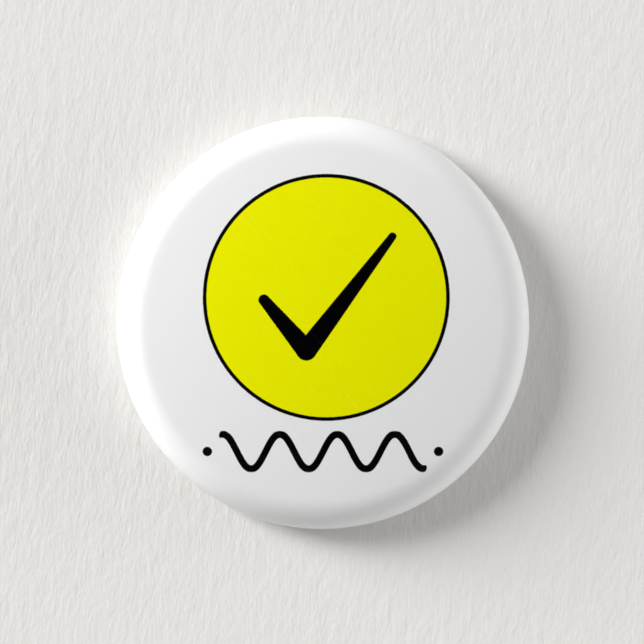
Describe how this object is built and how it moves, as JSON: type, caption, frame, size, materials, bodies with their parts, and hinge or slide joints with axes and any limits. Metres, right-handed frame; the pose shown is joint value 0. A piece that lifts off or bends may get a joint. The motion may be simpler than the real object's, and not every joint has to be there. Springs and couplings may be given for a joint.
{
  "type": "button badge",
  "caption": "Round pin-back button badge: printed paper under clear film on a domed tinplate shell, closed by a back plate whose sprung wire pin unhooks and swings open.",
  "frame": {"origin": "centre of the hem's flat ring at the back, on the badge's axis", "axes": "+Z along the badge's axis, out of its printed face; +Y towards the top of the artwork; +X to the right of the artwork"},
  "size_m": [0.0318, 0.0318, 0.0046],
  "materials": {
    "clear_film": "clear gloss film",
    "printed_paper": "white coated paper with a printed yellow disc and black marks",
    "shell_tinplate": "bright rolled tinplate",
    "plate_tinplate": "bright pressed tinplate with handling scratches",
    "spring_wire": "nickel-plated spring steel wire"
  },
  "bodies": {
    "badge": {"clear_film": "clear_film", "printed_paper": "printed_paper", "front_shell": "shell_tinplate", "back_plate": "plate_tinplate", "pin_wire": "spring_wire"},
    "pin": {"pin_arm": "spring_wire"}
  },
  "joints": [
    {"name": "pin_swing", "type": "hinge", "parent": "badge", "child": "pin", "pos_m": [0.00971, -0.00067, 0.00232], "axis": [0, -0.7071, 0.7071], "range_deg": [0, 35]}
  ]
}
